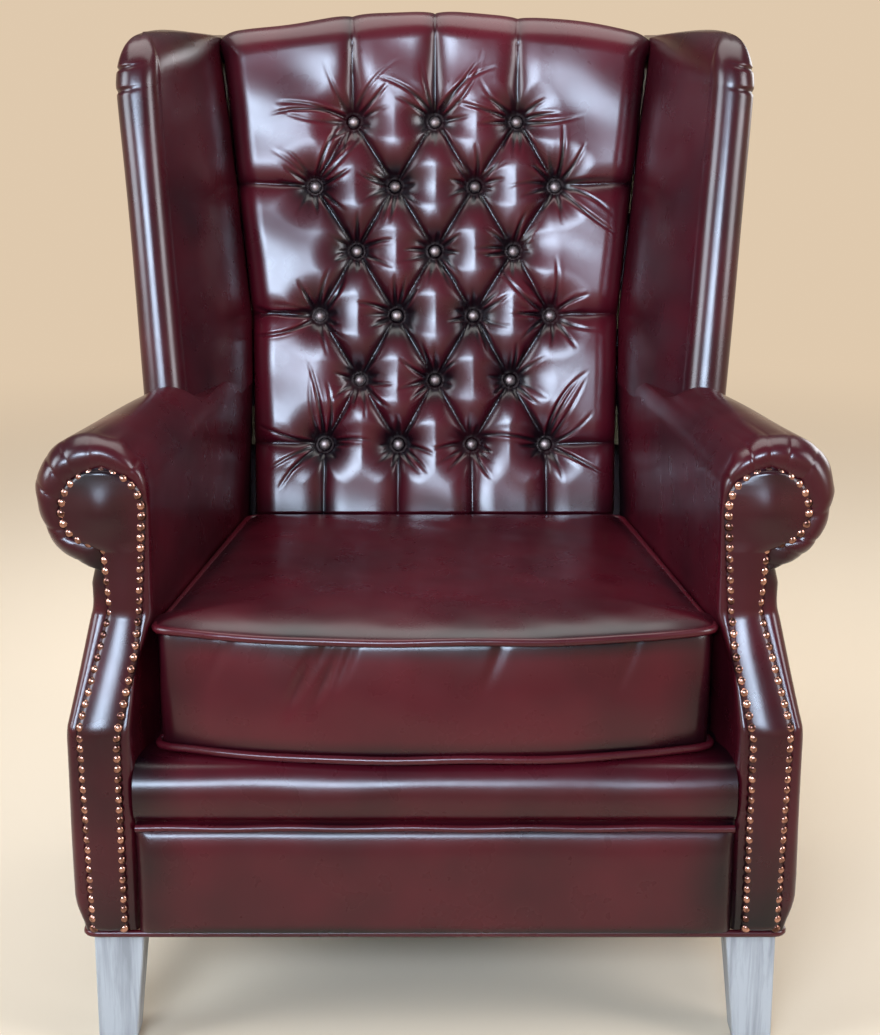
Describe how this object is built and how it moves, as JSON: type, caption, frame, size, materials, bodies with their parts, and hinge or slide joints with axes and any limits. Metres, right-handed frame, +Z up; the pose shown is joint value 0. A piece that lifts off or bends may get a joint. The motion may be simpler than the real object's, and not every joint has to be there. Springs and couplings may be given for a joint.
{
  "type": "wingback armchair",
  "caption": "Deep-buttoned wingback armchair with scroll arms edged by nails, a loose piped seat cushion and square tapered legs; it seats one person upright.",
  "frame": {"origin": "on the floor under the middle of the chair's width and depth", "axes": "+Z up, the sitter faces -Y, +X to the right of someone looking at the front"},
  "size_m": [0.8378, 0.8001, 1.0716],
  "materials": {
    "leather_oxblood": "glossy antiqued leather with worn highlights",
    "beech_frame": "plain sawn beech",
    "fibreboard": "smooth board",
    "zinc_steel": "zinc plated",
    "antique_nail": "antiqued copper-brass domes",
    "button_shell": "dull antiqued metal domes",
    "jute_webbing": "woven jute",
    "platform_cloth": "dark woven platform cloth over springs and padding",
    "black_cambric": "thin black dust cloth",
    "limed_oak": "grey limed grain, matt",
    "nylon_glide": "moulded nylon",
    "foam": "upholstery foam",
    "zip_tape": "woven tape with moulded teeth",
    "zip_metal": "antiqued die casting"
  },
  "bodies": {
    "chair": {"back_buttons": "button_shell", "back_pad": "leather_oxblood", "back_stuff_rail": "beech_frame", "back_top_rail": "beech_frame", "back_webbing": "jute_webbing", "base_welt": "leather_oxblood", "corner_blocks": "beech_frame", "corner_screws": "zinc_steel", "dust_cover": "black_cambric", "front_border": "leather_oxblood", "front_seat_rail": "beech_frame", "front_welt": "leather_oxblood", "left_arm_board": "fibreboard", "left_arm_facing": "leather_oxblood", "left_arm_pad": "leather_oxblood", "left_arm_post": "beech_frame", "left_arm_rail": "beech_frame", "left_arm_stuff_rail": "beech_frame", "left_back_post": "beech_frame", "left_facing_nails": "antique_nail", "left_front_leg": "limed_oak", "left_outside_arm": "leather_oxblood", "left_rear_leg": "limed_oak", "left_seat_rail": "beech_frame", "left_wing_frame": "beech_frame", "left_wing_pad": "leather_oxblood", "leg_bolts": "zinc_steel", "leg_glides": "nylon_glide", "leg_plates": "zinc_steel", "lip_roll": "leather_oxblood", "outside_back": "leather_oxblood", "rear_seat_rail": "beech_frame", "right_arm_board": "fibreboard", "right_arm_facing": "leather_oxblood", "right_arm_pad": "leather_oxblood", "right_arm_post": "beech_frame", "right_arm_rail": "beech_frame", "right_arm_stuff_rail": "beech_frame", "right_back_post": "beech_frame", "right_facing_nails": "antique_nail", "right_front_leg": "limed_oak", "right_outside_arm": "leather_oxblood", "right_rear_leg": "limed_oak", "right_seat_rail": "beech_frame", "right_wing_frame": "beech_frame", "right_wing_pad": "leather_oxblood", "seat_platform": "platform_cloth", "seat_webbing": "jute_webbing"},
    "seat_cushion": {"cushion_cover": "leather_oxblood", "cushion_core": "foam", "cushion_top_piping": "leather_oxblood", "cushion_bottom_piping": "leather_oxblood", "cushion_zip": "zip_tape"},
    "zip_slider": {"zip_slider": "zip_metal"}
  },
  "joints": [
    {"name": "cushion_lift", "type": "slide", "parent": "chair", "child": "seat_cushion", "axis": [0, 0, 1], "range_m": [0, 0.35]},
    {"name": "zip_slide", "type": "slide", "parent": "seat_cushion", "child": "zip_slider", "axis": [-1, 0, 0], "range_m": [0, 0.37]}
  ]
}
